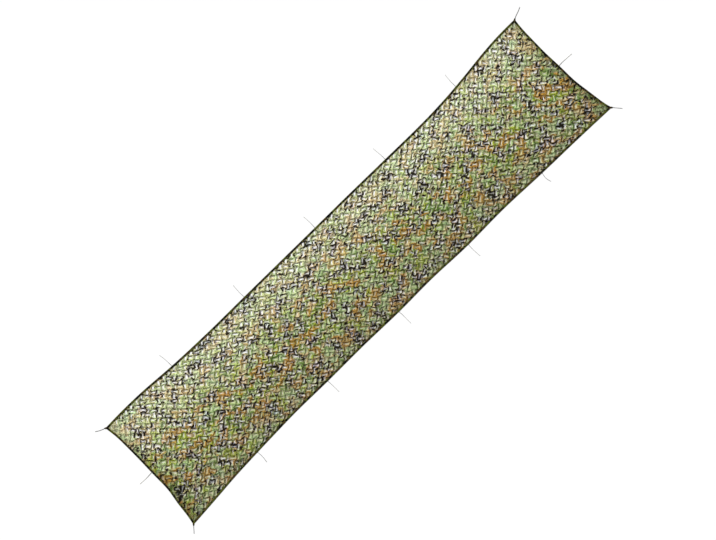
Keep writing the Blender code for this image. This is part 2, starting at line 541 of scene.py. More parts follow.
@dataclass(frozen=True)
class Ramp:
    """Where a field begins to show, where it shows in full, and how strongly it then does."""

    start: float
    full: float
    depth: float = 1.0

    def of(self, dye: Dye, source: Socket) -> Socket:
        """Return how strongly a field shows, from 0 to the ramp's depth."""
        return dye.times(dye.step(source, self.start, self.full), self.depth)


@dataclass(frozen=True)
class PrintLayer:
    """One colour of the print: where its blotches come from, how large they are and how full."""

    paint: Paint
    offset: Point
    size: float
    cover: Ramp
    turn: float = 0.0
    stretch: Point = (1, 1)

    def share(self, dye: Dye, place: Socket) -> Socket:
        """Return how much this colour covers the cloth, from 0 to 1."""
        blotches = dye.blotches(dye.moved(place, self.offset, self.turn, self.stretch), self.size)
        return self.cover.of(dye, blotches)


@dataclass(frozen=True)
class PrintedCloth:
    """The finish of the slit cloth: a lightweight woven polyester, printed in broken camouflage colours.
    """

    olive: Paint = Paint(166, 180, 58)
    mint: PrintLayer = PrintLayer(Paint(176, 198, 136), (3.1, 7.7), 0.150, Ramp(0.41, 0.51), 30)
    leaf: PrintLayer = PrintLayer(Paint(114, 144, 62), (13.4, 2.9), 0.085, Ramp(0.53, 0.62), -40)
    sand: PrintLayer = PrintLayer(
        Paint(206, 186, 132), (5.2, 17.1), 0.150, Ramp(0.60, 0.68), 45, (1, 1.7)
    )
    ochre: PrintLayer = PrintLayer(
        Paint(186, 144, 60), (23.7, 9.3), 0.170, Ramp(0.54, 0.61), -45, (1, 1.5)
    )
    drift_size: float = 0.25
    drift_reach: float = 0.040
    ragged_size: float = 0.045
    ragged_reach: float = 0.010
    # Painted light: paler towards the far side, where the far side lamp falls more strongly.
    sun_faded: Paint = Paint(246, 250, 211)
    far_lighting: Ramp = Ramp(0.52, 1.22, 0.52)
    dulled: Paint = Paint(142, 146, 126)
    dulling: Ramp = Ramp(0.50, 0.0, 0.28)
    stone: Paint = Paint(218, 208, 176)
    stoniness: Ramp = Ramp(0.48, 0.68)
    stone_depth: float = 0.30
    rust: Paint = Paint(168, 122, 72)
    rusting: Ramp = Ramp(0.76, 0.82, 0.45)
    bark: Paint = Paint(20, 13, 4)
    bark_cover: Ramp = Ramp(0.842, 0.860)
    bark_depth: float = 0.94
    bark_over_lips: float = 0.55
    bark_size: float = 0.033
    bark_group_size: float = 0.105
    group_pull: float = 0.50
    sand_pull: float = 0.035
    speckled: Paint = Paint(172, 174, 168)
    speckling: Ramp = Ramp(0.30, 0.66)
    speckle_size: float = 0.009
    # Painted highlight: the slits' lips are painted pale where the lamp catches them, paler still over the
    # stone marks.
    lip_highlight: Paint = Paint(255, 255, 208)
    stone_lip_highlight: Paint = Paint(255, 255, 252)
    lip_highlighting: Ramp = Ramp(0.03, 0.50)
    lip_highlight_depth: float = 0.42
    stone_highlight_depth: float = 0.32
    hue_size: float = 0.100
    hue_strength: float = 0.14
    shaded_side: Paint = Paint(223, 222, 223)
    side_light: Ramp = Ramp(0.0, 1.2)
    # Painted shade: darker along the far hem.
    far_hem_shade: Paint = Paint(227, 228, 224)
    far_hem_shading: Ramp = Ramp(1.115, 1.160)
    # Painted shade: darker towards the net's two ends.
    end_shade: Paint = Paint(214, 215, 204)
    end_shade_reach: float = 0.095
    thread_shade_and_slub_tone: Paint = Paint(205, 205, 205)
    thread_shade: float = 0.16
    slub_grain: float = 0.24
    thread_relief: float = 0.7
    slub_relief: float = 0.5
    dust: Paint = Paint(190, 190, 160)
    dusting: Ramp = Ramp(0.85, 1.5, 0.10)
    weave_pitch: float = 0.0012
    slub_size: float = 0.004
    thread_height: float = 0.00018

    def make(self) -> bpy.types.Material:
        """Make the cloth's material.

        Returns:
            The material.
        """
        nap = {"sheen_weight": 0.03, "sheen_roughness": 0.45}
        dye = Dye("printed_cloth", roughness=0.82, specular_ior_level=0.06, **nap)
        place = dye.cloth_place()
        along, across, _ = dye.node("ShaderNodeSeparateXYZ", {"Vector": place}).outputs

        colour, sand_share = self._camouflage(dye, place)
        colour = self._far_lit_near_dulled(dye, colour, across)
        colour = self._dark_marks(dye, colour, place, sand_share)
        hue_place = dye.moved(place, (2.2, 6.4))
        colour = dye.uneven_hue(colour, hue_place, self.hue_size, self.hue_strength)
        colour = self._edge_shades(dye, colour, along, across)

        threads = dye.weave(place, self.weave_pitch)
        slubs = dye.blotches(dye.moved(place, (0.3, 0.7), 0, (0.12, 1)), self.slub_size)
        # Painted shade in the hollows between the threads, laid with the slubs' own uneven tone.
        thread_shade_and_slubs = dye.plus(dye.times(threads, self.thread_shade), dye.times(slubs, self.slub_grain))
        colour = dye.laid_over(colour, dye.mixed(thread_shade_and_slubs, self.thread_shade_and_slub_tone, WHITE))
        colour = dye.mixed(self.dusting.of(dye, dye.attribute("rise")), colour, self.dust)
        relief = dye.plus(dye.times(threads, self.thread_relief), dye.times(slubs, self.slub_relief))
        return dye.finish(colour, relief, self.thread_height)

    def _camouflage(self, dye: Dye, place: Socket) -> tuple[Socket, Socket]:
        """Lay the print's colours over one another.

        Args:
            dye: The material so far.
            place: The place on the cut cloth, in metres.

        Returns:
            The colour as printed, and how sandy it is, from 0 to 1.
        """
        drifting = dye.warped(place, self.drift_size, self.drift_reach)
        mixed_place = dye.warped(drifting, self.ragged_size, self.ragged_reach)
        colour: Socket | Paint = self.olive
        shares = []
        for layer in (self.mint, self.leaf, self.sand, self.ochre):
            shares.append(layer.share(dye, mixed_place))
            colour = dye.mixed(shares[-1], colour, layer.paint)
        return colour, shares[2]

    def _far_lit_near_dulled(self, dye: Dye, colour: Socket, across: Socket) -> Socket:
        """Return the colour with painted light towards the far side and dulled towards the near one."""
        colour = dye.mixed(self.far_lighting.of(dye, across), colour, self.sun_faded)
        return dye.mixed(self.dulling.of(dye, across), colour, self.dulled)

    def _dark_marks(self, dye: Dye, colour: Socket, place: Socket, sand_share: Socket) -> Socket:
        """Return the colour with its groups of bark marks, its speckles and the painted highlight on its
        slits' lips.

        Args:
            dye: The material so far.
            colour: The colour under the marks.
            place: The place on the cut cloth, in metres.
            sand_share: How sandy the colour is, from 0 to 1.

        Returns:
            The marked colour.
        """
        ragged = dye.warped(place, self.ragged_size, self.ragged_reach)
        broken = dye.moved(ragged, (8.8, 31.3), 45, (1, 1.5))
        groups = dye.blotches(dye.moved(place, (2.3, 44.9)), self.bark_group_size, 0.0)
        stony = self.stoniness.of(dye, groups)
        colour = dye.mixed(dye.times(stony, self.stone_depth), colour, self.stone)
        drift = dye.plus(dye.times(groups, self.group_pull), dye.times(sand_share, self.sand_pull))
        depth = dye.plus(dye.blotches(broken, self.bark_size), drift)
        colour = dye.mixed(self.rusting.of(dye, depth), colour, self.rust)
        bark_share = self.bark_cover.of(dye, depth)
        colour = dye.mixed(dye.times(bark_share, self.bark_depth), colour, self.bark)
        speckles = dye.blotches(dye.moved(place, (9.7, 4.6)), self.speckle_size, 0.0)
        colour = dye.laid_over(colour, dye.mixed(self.speckling.of(dye, speckles), self.speckled, WHITE))
        # Painted highlight on the slits' lips, stronger over the stone marks.
        highlight_strength = dye.plus(dye.times(stony, self.stone_highlight_depth), self.lip_highlight_depth)
        highlighted = dye.times(self.lip_highlighting.of(dye, dye.attribute("lip")), highlight_strength)
        colour = dye.mixed(highlighted, colour, dye.mixed(stony, self.lip_highlight, self.stone_lip_highlight))
        return dye.mixed(dye.times(bark_share, self.bark_over_lips), colour, self.bark)

    def _edge_shades(self, dye: Dye, colour: Socket, along: Socket, across: Socket) -> Socket:
        """Return the colour with painted shade towards the near side, along the far hem and at the two
        ends.

        Args:
            dye: The material so far.
            colour: The colour to shade.
            along: How far along the cut cloth, in metres.
            across: How far across the cut cloth, in metres.

        Returns:
            The shaded colour.
        """
        tone = dye.mixed(self.side_light.of(dye, across), self.shaded_side, WHITE)
        hem_shade = dye.mixed(self.far_hem_shading.of(dye, across), WHITE, self.far_hem_shade)
        left_end = dye.step(along, self.end_shade_reach, 0.0)
        right_end = dye.step(along, CUT_LENGTH - self.end_shade_reach, CUT_LENGTH)
        ends = dye.mixed(dye.plus(left_end, right_end), WHITE, self.end_shade)
        for shade in (tone, hem_shade, ends):
            colour = dye.laid_over(colour, shade)
        return colour


@dataclass(frozen=True)
class WovenTape:
    """The finish of the edge tape: a tight olive-black webbing with fine ribs across it."""

    dark: Paint = Paint(9, 10, 3)
    olive: Paint = Paint(74, 80, 22)
    olive_cover: Ramp = Ramp(0.56, 0.64)
    olive_lighting: float = 0.10
    earth: Paint = Paint(68, 49, 24)
    earth_cover: Ramp = Ramp(0.60, 0.70, 0.85)
    earth_lighting: float = 0.06
    rubbed: Paint = Paint(62, 60, 34)
    rubbing: Ramp = Ramp(0.3, 1.0)
    rub_clouds: Ramp = Ramp(0.35, 0.65)
    rub_depth: float = 0.30
    shade_between_ribs: Paint = Paint(170, 170, 170)
    rib_pitch: float = 0.0016
    rib_height: float = 0.00035

    def make(self) -> bpy.types.Material:
        """Make the tape's material.

        Returns:
            The material.
        """
        nap = {"sheen_weight": 0.03, "sheen_roughness": 0.4}
        dye = Dye("woven_tape", roughness=0.85, specular_ior_level=0.08, **nap)
        place = dye.cloth_place()
        threads = dye.weave(place, self.rib_pitch)
        cloudy = dye.blotches(place, 0.09, 3.0, 0.6)
        # Painted light: more olive and earth patches, so lighter, on the sides where more light falls.
        faded = dye.attribute("faded")
        olive_field = dye.blotches(dye.moved(place, (1.7, 0.4)), 0.045)
        olive_field = dye.plus(olive_field, dye.times(faded, self.olive_lighting))
        colour = dye.mixed(self.olive_cover.of(dye, olive_field), self.dark, self.olive)
        earth_field = dye.blotches(dye.moved(place, (6.1, 2.8)), 0.060)
        earth_field = dye.plus(earth_field, dye.times(faded, self.earth_lighting))
        colour = dye.mixed(self.earth_cover.of(dye, earth_field), colour, self.earth)
        worn = dye.times(self.rubbing.of(dye, dye.attribute("rub")), self.rub_clouds.of(dye, cloudy))
        colour = dye.mixed(dye.times(worn, self.rub_depth), colour, self.rubbed)
        # Painted shade in the hollows between the ribs.
        colour = dye.laid_over(colour, dye.mixed(threads, self.shade_between_ribs, WHITE))
        return dye.finish(colour, threads, self.rib_height)


@dataclass(frozen=True)
class BraidedCord:
    """The finish of the tie cords: grey braid, painted paler towards the free end where its tone says so.
    """

    root: Paint = Paint(14, 14, 12)
    tip: Paint = Paint(214, 212, 204)
    shade_between_strands: Paint = Paint(178, 178, 178)
    strand_pitch: float = 0.0011
    strand_height: float = 0.0002
    cloudiness: float = 0.25

    def make(self) -> bpy.types.Material:
        """Make the cord's material.

        Returns:
            The material.
        """
        nap = {"sheen_weight": 0.04, "sheen_roughness": 0.5}
        dye = Dye("braided_cord", roughness=0.85, specular_ior_level=0.08, **nap)
        place = dye.cloth_place()
        along = dye.attribute("pale")
        cloudy = dye.blotches(place, 0.02, 2.0)
        share = dye.plus(along, dye.times(dye.plus(cloudy, -0.5), self.cloudiness))
        colour = dye.mixed(share, self.root, self.tip)
        crossing = dye.weave(dye.moved(place, (0, 0), 45), self.strand_pitch)
        # Painted shade in the hollows between the braid's strands.
        colour = dye.laid_over(colour, dye.mixed(crossing, self.shade_between_strands, WHITE))
        return dye.finish(colour, crossing, self.strand_height)


@dataclass(frozen=True)
class SewingThread:
    """The finish of the stitches: bonded olive thread with a slight shine."""

    thread: Paint = Paint(54, 56, 32)
    worn: Paint = Paint(86, 86, 60)
    wear: Ramp = Ramp(0.45, 0.65)
    twist_pitch: float = 0.0008
    twist_height: float = 0.0001

    def make(self) -> bpy.types.Material:
        """Make the thread's material.

        Returns:
            The material.
        """
        dye = Dye("sewing_thread", roughness=0.5, specular_ior_level=0.45)
        place = dye.object_place()
        cloudy = dye.blotches(place, 0.03, 2.0)
        colour = dye.mixed(self.wear.of(dye, cloudy), self.thread, self.worn)
        feeds = {"Vector": place, "Scale": math.pi / (10 * self.twist_pitch)}
        twist = dye.node("ShaderNodeTexWave", feeds, bands_direction="DIAGONAL")
        return dye.finish(colour, twist.outputs["Fac"], self.twist_height)


class MeshKit:
    """Points, faces and point values gathered for one piece, then made into an object."""

    def __init__(self, name: str) -> None:
        """Start an empty piece.

        Args:
            name: The piece's name.
        """
        self.name = name
        self.points: list[Place] = []
        self.cut_places: list[Point] = []
        self.faces: list[tuple[int, ...]] = []
        self.creased: set[int] = set()
        self.values: dict[str, list[float]] = {}

    def add(self, place: Place, cut_place: Point, **values: float) -> int:
        """Add a point.

        Args:
            place: Where it is, in metres.
            cut_place: Where it was on the flat cloth, in metres.
            **values: What else the mesh carries there.

        Returns:
            The point's number.
        """
        self.points.append(place)
        self.cut_places.append(cut_place)
        for name, value in values.items():
            self.values.setdefault(name, []).append(value)
        return len(self.points) - 1

    def band(self, first: list[int], second: list[int]) -> None:
        """Join two rings of points with four-sided faces."""
        for i in range(len(first)):
            j = (i + 1) % len(first)
            self.faces.append((first[i], first[j], second[j], second[i]))

    def tube(self, rings: list[list[int]], turned: bool = False) -> None:
        """Join rings of points into a tube and close its two ends.

        Args:
            rings: The rings, in order along the tube.
            turned: Whether the rings run the other way round, so that the faces have to be turned.
        """
        for first, second in zip(rings, rings[1:]):
            self.band(*((second, first) if turned else (first, second)))
        start, end = tuple(rings[0]), tuple(rings[-1])
        self.faces.append(start if turned else start[::-1])
        self.faces.append(end[::-1] if turned else end)

    def make(self, material: bpy.types.Material) -> bpy.types.Object:
        """Make the object.

        Args:
            material: Its only material.

        Returns:
            The object, at the origin with its place in its mesh.
        """
        mesh = bpy.data.meshes.new(self.name)
        mesh.from_pydata(self.points, [], self.faces)
        cut_map = mesh.uv_layers.new(name=CUT_MAP)
        corners = [part for loop in mesh.loops for part in self.cut_places[loop.vertex_index]]
        cut_map.data.foreach_set("uv", corners)
        for name, values in self.values.items():
            mesh.attributes.new(name, "FLOAT", "POINT").data.foreach_set("value", values)
        mesh.shade_smooth()
        if self.creased:
            sharp = [all(end in self.creased for end in edge.vertices) for edge in mesh.edges]
            mesh.attributes.new("sharp_edge", "BOOLEAN", "EDGE").data.foreach_set("value", sharp)
        mesh.materials.append(material)
        made = bpy.data.objects.new(self.name, mesh)
        bpy.context.scene.collection.objects.link(made)
        return made


class SlitWay(Enum):
    """Which way a slit runs, seen from above with +X to the right."""

    FALLING = "falling"
    RISING = "rising"


@dataclass(frozen=True)
class Opening:
    """One slit as it stands open: its middle, half its width and length in tile sides, and its turn."""

    centre: Point
    wide: float
    long: float
    way: SlitWay
    turn: float
    roundness: float = 0.32
    taper: float = 0.35
    shut_width: float = 0.01

    def shut(self) -> "Opening":
        """Return the same slit before it was pulled open."""
        return replace(self, wide=self.shut_width, turn=0.0)

    def _across_tile(self, dp: float, dq: float) -> Point:
        """Return an offset from the tile's middle in the frame of the slits, from -1 to 1 each way."""
        dp, dq = dp - self.centre[0], dq - self.centre[1]
        return (2 * (dp - dq), 2 * (-dp - dq))

    def nearness_to_end(self, dp: float, dq: float) -> float:
        """Work out how close a border point is to an end of the slit, where the cloth is whole.

        Args:
            dp: The border point's offset from the tile's middle along the net.
            dq: The border point's offset from the tile's middle across the net.

        Returns:
            0 beside the middle of the slit and 1 at its ends.
        """
        x, y = self._across_tile(dp, dq)
        along, beside = (abs(x), abs(y)) if self.way is SlitWay.FALLING else (abs(y), abs(x))
        if along > beside + 0.01:
            return 1.0
        return clamp(along) ** 6

    def lip(self, dp: float, dq: float) -> Point:
        """Return where the lip lies that belongs to a border point.

        Args:
            dp: The border point's offset from the tile's middle along the net.
            dq: The border point's offset from the tile's middle across the net.

        Returns:
            The lip point's offset from the tile's middle.
        """
        x, y = self._across_tile(dp, dq)
        x, y = clamp(x, -1, 1), clamp(y, -1, 1)
        rounded_x = x * math.sqrt(1 - self.roundness * y * y)
        rounded_y = y * math.sqrt(1 - self.roundness * x * x)
        if self.way is SlitWay.FALLING:
            s, t = self.long * rounded_x, self.wide * rounded_y
        else:
            s, t = self.wide * rounded_x * (1 - self.taper * rounded_y), self.long * rounded_y
        turn = self.turn
        s, t = s * math.cos(turn) - t * math.sin(turn), s * math.sin(turn) + t * math.cos(turn)
        return (self.centre[0] + (s - t) / 2, self.centre[1] - (s + t) / 2)


@dataclass(frozen=True)
class Crease:
    """A soft raised fold in the cloth, from one place to another."""

    start: Point
    end: Point
    height: float
    width: float = 0.016


CREASES = (
    Crease((-2.210, -0.480), (-2.105, -0.590), 0.0035),
    Crease((-1.235, -0.470), (-1.110, -0.590), 0.0040),
    Crease((-0.330, -0.470), (-0.225, -0.585), 0.0030),
    Crease((0.600, -0.480), (0.690, -0.590), 0.0035),
    Crease((1.420, -0.470), (1.500, -0.600), 0.0030),
    Crease((2.190, -0.500), (2.115, -0.610), 0.0035),
)


@dataclass
class SlitNet:
    """The cloth panel: tiles set corner to corner, each pulled open along its own slit."""

    outline: Outline
    along: int = 76
    across: int = 18
    tile_parts: int = 8
    tile_length: float = 0.078
    tile_width: float = 0.067
    rim_inset: float = 0.004
    free_start: float = 0.018
    free_run: float = 0.022
    far_half_opening: float = 0.125
    near_half_opening: float = 0.026
    opening_growth: float = 1.8
    half_length: float = 0.45
    width_range: Point = (0.55, 1.40)
    length_range: Point = (0.68, 1.00)
    most_turn: float = 15.0
    # Painted highlight on the slits' lips: how strongly it shows from tile to tile.
    highlight_range: Point = (0.62, 1.00)
    edge_step: float = 0.20
    edge_shrink: float = 0.45
    corner_step: float = 0.17
    bow: float = -0.11
    stretch: float = 0.06
    sway: float = 0.16
    sway_sizes: Point = (6, 5)
    jitter: float = 0.22
    jitter_sizes: Point = (0.7, 0.7)
    loose_reach: float = 0.07
    opening_drift: float = 0.35
    drift_sizes: Point = (5, 4)
    held_tiles: float = 3.5
    held_opening: float = 0.25
    # Painted highlight on the lips near the net's ends, as a share of the full one.
    held_highlight: float = 0.45
    # How the lips' painted highlight swings along each slit.
    highlight_level: float = 0.80
    highlight_swing: float = 0.9
    highlight_sizes: Point = (0.28, 0.28)
    seam_height: float = 0.0122
    lip_height: float = 0.0010
    side_band_place: float = 0.52
    end_band_place: float = 0.75
    band_height: float = 0.0048
    end_height: float = 0.0075
    roll_height: float = 0.0010
    roll_sizes: Point = (0.35, 0.25)
    height_drift: float = 0.45
    height_sizes: Point = (0.05, 0.05)
    least_height: float = 0.0006
    most_height: float = 0.0135
    seed: int = 7
    kit: MeshKit = field(init=False)
    borders: dict[Point, int] = field(init=False, default_factory=dict)

    def build(self) -> bpy.types.Object:
        """Build and dress the cloth panel.

        Returns:
            The panel.
        """
        self.kit = MeshKit("slit_cloth_panel")
        self.dice = random.Random(self.seed)
        self._read_edges()
        for p in range(self.along + 1):
            for q in range(self.across + 1):
                self._tile(p, q, SlitWay.FALLING)
        for p in range(self.along):
            for q in range(self.across):
                self._tile(p + 0.5, q + 0.5, SlitWay.RISING)
        return self.kit.make(PrintedCloth().make())

    def _read_edges(self) -> None:
        """Read the four edges that the tiles are spread between."""
        inset = self.rim_inset
        self.right = self.outline.dense(SideName.RIGHT, inset).reversed()
        self.near = self.outline.dense(SideName.NEAR, inset).reversed()
        self.left = self.outline.dense(SideName.LEFT, inset)
        self.far = self.outline.dense(SideName.FAR, inset)

    def _edge_gap(self, p: float, q: float) -> float:
        """Work out about how far a place on the lattice is from the panel's edge.

        Args:
            p: How many tiles along the net.
            q: How many tiles across the net.

        Returns:
            The distance, in metres.
        """
        gap_along = min(p, self.along - p) * self.tile_length
        gap_across = min(q, self.across - q) * self.tile_width
        return max(0.0, min(gap_along, gap_across))

    def _spread(self, p: float, q: float) -> Vector:
        """Return where a place on the lattice lies on the floor.

        Args:
            p: How many tiles along the net, from its left edge.
            q: How many tiles across the net, from its near edge.

        Returns:
            The place, in metres.
        """
        loose = ease(self._edge_gap(p, q) / self.loose_reach)
        p += self.sway * loose * ripple(p, q, self.sway_sizes, 3.7)
        q += self.sway * loose * ripple(p, q, self.sway_sizes, 9.1)
        x, y = math.pi * (p - q), math.pi * (p + q)
        bowed_x = -self.bow * math.sin(x) * math.cos(y)
        bowed_y = self.bow * math.cos(x) * math.sin(y)
        shift_p = (bowed_y + bowed_x) / 2 + self.jitter * ripple(p, q, self.jitter_sizes, 4.4)
        shift_q = (bowed_y - bowed_x) / 2 + self.jitter * ripple(p, q, self.jitter_sizes, 7.6)
        p += shift_p * loose
        q += shift_q * loose
        u, v = p / self.along, q / self.across
        u -= self.stretch * (2 * v - 1) * math.sin(2 * math.pi * u) / (2 * math.pi)
        near, far = self.near.at(u), self.far.at(u)
        left, right = self.left.at(v), self.right.at(v)
        low = self.near.points[0].lerp(self.near.points[-1], u)
        high = self.far.points[0].lerp(self.far.points[-1], u)
        return near.lerp(far, v) + left.lerp(right, u) - low.lerp(high, v)

    def _cut_place(self, p: float, q: float) -> Point:
        """Return where a place on the lattice was on the flat cloth, in metres."""
        return (p * CUT_LENGTH / self.along, q * CUT_WIDTH / self.across)

    def _crease_rise(self, place: Vector) -> float:
        """Work out how much the creases lift the cloth.

        Args:
            place: The place on the floor, in metres.

        Returns:
            The rise there, in metres.
        """
        rise = 0.0
        for crease in CREASES:
            start, end = Vector(crease.start), Vector(crease.end)
            run = end - start
            share = (place - start).dot(run) / run.length_squared
            beside = (place - start.lerp(end, clamp(share))).length / crease.width
            if beside < 1:
                rise += crease.height * (1 - beside) ** 2 * (1 + 2 * beside)
        return rise

    def _add(self, p: float, q: float, height: float, lip: float, cut: Point | None = None) -> int:
        """Add a point of the cloth.

        Args:
            p: How many tiles along the net.
            q: How many tiles across the net.
            height: How high it stands before the cloth's unevenness, in metres.
            lip: How strongly a slit's lip shows its painted highlight there, and 0 away from it.
            cut: Where it was on the flat lattice, if the slit has moved it.

        Returns:
            The point's number.
        """
        place = self._spread(p, q)
        free = ease((self._edge_gap(p, q) + self.rim_inset - self.free_start) / self.free_run)
        rolling = self.roll_height * ripple(place.x, place.y, self.roll_sizes, 5.0)
        uneven = 1 + self.height_drift * ripple(place.x, place.y, self.height_sizes, 1.0)
        raised = between(self.lip_height, height, uneven) + rolling
        raised = clamp(raised + self._crease_rise(place), self.least_height, self.most_height)
        return self.kit.add(
            (place.x, place.y, between(RIM_HEIGHT, raised, free)),
            self._cut_place(*(cut or (p, q))),
            rise=free * height / self.seam_height,
            lip=lip,
        )

    def _border_point(self, key: Point) -> int:
        """Find or add a point that neighbouring tiles share.

        Args:
            key: Its place on the lattice, in parts of a tile.

        Returns:
            The point's number.
        """
        if key not in self.borders:
            p, q = key[0] / self.tile_parts, key[1] / self.tile_parts
            self.borders[key] = self._add(p, q, self.seam_height, 0.0)
            self.kit.creased.add(self.borders[key])
        return self.borders[key]

    def _corners(self, p: float, q: float) -> list[Point]:
        """Find a tile's corners, anticlockwise, cut off where the panel ends.

        Args:
            p: The tile's middle along the net.
            q: The tile's middle across the net.

        Returns:
            The corners, as offsets from the tile's middle.
        """
        corners = []
        for dp, dq in ((0.5, 0.0), (0.0, 0.5), (-0.5, 0.0), (0.0, -0.5)):
            inside = 0 <= p + dp <= self.along and 0 <= q + dq <= self.across
            if inside:
                corners.append((dp, dq))
            elif (0.0, 0.0) not in corners and self._is_panel_corner(p, q):
                corners.append((0.0, 0.0))
        return corners

    def _is_panel_corner(self, p: float, q: float) -> bool:
        """Return whether a tile stands on one of the panel's four corners."""
        return p in (0, self.along) and q in (0, self.across)

    def _border(self, p: float, q: float) -> list[Point]:
        """Find a tile's border points, anticlockwise, one part of a tile apart.

        Args:
            p: The tile's middle along the net.
            q: The tile's middle across the net.

        Returns:
            The points, as offsets from the tile's middle.
        """
        corners = self._corners(p, q)
        offsets = []
        for start, end in zip(corners, corners[1:] + corners[:1]):
            run = (end[0] - start[0], end[1] - start[1])
            parts = round(self.tile_parts * max(abs(run[0]), abs(run[1])))
            for k in range(parts):
                offsets.append((start[0] + run[0] * k / parts, start[1] + run[1] * k / parts))
        return offsets

    def _half_opening(self, p: float, q: float) -> float:
        """Work out how wide the slits stand open.

        Args:
            p: How many tiles along the net.
            q: How many tiles across the net.

        Returns:
            Half the width of an opening there, in tile sides.
        """
        growth = clamp(q / self.across) ** self.opening_growth
        wide = between(self.near_half_opening, self.far_half_opening, growth)
        drift = 1 + self.opening_drift * ripple(p, q, self.drift_sizes, 6.0)
        return wide * drift * between(self.held_opening, 1, self._away_from_ends(p))

    def _away_from_ends(self, p: float) -> float:
        """Return 0 at the net's two ends, where the pull keeps the cloth shut, and 1 away from them."""
        return ease(min(p, self.along - p) / self.held_tiles)

    @staticmethod
    def _off_edge(place: float, last: float, step: float) -> float:
        """Return a step into the net at its first or last lattice line, and 0 away from them."""
        return step if place == 0 else -step if place == last else 0.0

    def _draw_opening(self, p: float, q: float, way: SlitWay) -> tuple[Opening, float]:
        """Draw how the slit of one tile stands open.

        Args:
            p: The tile's middle along the net.
            q: The tile's middle across the net.
            way: Which way its slit runs.

        Returns:
            The opening, and how strongly its lips show their painted highlight, from 0 to 1.
        """
        wide = self._half_opening(p, q) * self.dice.uniform(*self.width_range)
        long = self.half_length * self.dice.uniform(*self.length_range)
        turn = math.radians(self.dice.uniform(-self.most_turn, self.most_turn))
        lip_light = self.dice.uniform(*self.highlight_range)
        lip_light *= between(self.held_highlight, 1, self._away_from_ends(p))
        step_p = self._off_edge(p, self.along, self.edge_step)
        step_q = self._off_edge(q, self.across, self.edge_step)
        if step_p or step_q:
            wide *= self.edge_shrink
            long *= self.edge_shrink
        if q == self.across:
            lip_light *= self.edge_shrink
        return Opening((step_p, step_q), wide, long, way, turn), lip_light

    def _tile(self, p: float, q: float, way: SlitWay) -> None:
        """Add one tile: its border, the band round its opening and the opening's lips.

        Args:
            p: The tile's middle along the net.
            q: The tile's middle across the net.
            way: Which way its slit runs.
        """
        offsets = self._border(p, q)
        parts = self.tile_parts
        keys = [(round(parts * (p + dp)), round(parts * (q + dq))) for dp, dq in offsets]
        border = [self._border_point(key) for key in keys]
        opening, lip_light = self._draw_opening(p, q, way)
        if self._is_panel_corner(p, q):
            step_p = self._off_edge(p, self.along, self.corner_step)
            step_q = self._off_edge(q, self.across, self.corner_step)
            middle = self._add(p + step_p, q + step_q, self.seam_height, 0.0)
            for a, b in zip(border, border[1:] + border[:1]):
                self.kit.faces.append((a, b, middle))
            return
        unopened = opening.shut()
        lips, bands = [], []
        for dp, dq in offsets:
            lip, shut = opening.lip(dp, dq), unopened.lip(dp, dq)
            end = opening.nearness_to_end(dp, dq)
            lip_cut = (p + shut[0], q + shut[1])
            # Painted highlight on the lip, swinging along the slit.
            highlight_drift = self.highlight_swing * ripple(*lip_cut, self.highlight_sizes, 2.6)
            lip_light_here = lip_light * clamp(self.highlight_level + highlight_drift)
            lip_height = between(self.lip_height, self.end_height, end)
            lips.append(self._add(p + lip[0], q + lip[1], lip_height, lip_light_here, lip_cut))
            out = between(self.side_band_place, self.end_band_place, end)
            band_height = between(self.band_height, self.end_height, end)
            mid = [between(o, b, out) for o, b in zip(lip, (dp, dq))]
            mid_cut = (between(p + shut[0], p + dp, out), between(q + shut[1], q + dq, out))
            bands.append(self._add(p + mid[0], q + mid[1], band_height, 0.0, mid_cut))
        self.kit.band(border, bands)
        self.kit.band(bands, lips)


@dataclass(frozen=True)
class TapePoint:
    """One point of the folded tape's section: how far in from the fold, how high, how rubbed."""

    inward: float
    height: float
    rub: float
    upper: bool


TAPE_SECTION = (
    TapePoint(0.0204, 0.0004, 0.6, False),
    TapePoint(0.0170, 0.0003, 0.0, False),
    TapePoint(0.0100, 0.0000, 0.0, False),
    TapePoint(0.0034, 0.0001, 0.1, False),
    TapePoint(0.0004, 0.0002, 0.6, False),
    TapePoint(-0.0008, 0.0008, 1.0, False),
    TapePoint(-0.0012, 0.0018, 1.0, False),
    TapePoint(-0.0008, 0.0028, 1.0, True),
    TapePoint(0.0004, 0.0034, 0.7, True),
    TapePoint(0.0034, 0.0036, 0.2, True),
    TapePoint(0.0100, 0.0037, 0.0, True),
    TapePoint(0.0170, 0.0033, 0.0, True),
    TapePoint(0.0204, 0.0034, 0.7, True),
    TapePoint(0.0204, 0.0025, 0.5, True),
    TapePoint(0.0100, 0.0026, 0.0, True),
    TapePoint(0.0014, 0.0025, 0.0, True),
    TapePoint(0.0004, 0.0018, 0.0, False),
    TapePoint(0.0014, 0.0011, 0.0, False),
    TapePoint(0.0100, 0.0010, 0.0, False),
    TapePoint(0.0204, 0.0012, 0.5, False),
)


@dataclass(frozen=True)
class Stitch:
    """One stitch: a short plump thread that dips into the tape at both ends."""

    start: Vector
    end: Vector
    upper: bool = True
    half_width: float = 0.00045
    upper_rise: float = 0.0004
    under_rise: float = 0.0002
    depth: float = 0.0003

    def add_to(self, kit: MeshKit) -> None:
        """Add the stitch to a piece.

        Args:
            kit: The piece so far.
        """
        up = Vector((0, 0, 1 if self.upper else -1))
        beside = (self.end - self.start).normalized().cross(up) * self.half_width
        middle = self.start.lerp(self.end, 0.5)
        crest = middle + up * (self.upper_rise if self.upper else self.under_rise)
        girdle = [middle + beside, crest, middle - beside, middle - up * self.depth]
        places = (self.start, *girdle, self.end)
        first, *round_it, last = [kit.add(tuple(place), (place.x, place.y)) for place in places]
        for a, b in zip(round_it, round_it[1:] + round_it[:1]):
            for face in ((first, a, b), (last, b, a)):
                kit.faces.append(face if self.upper else face[::-1])


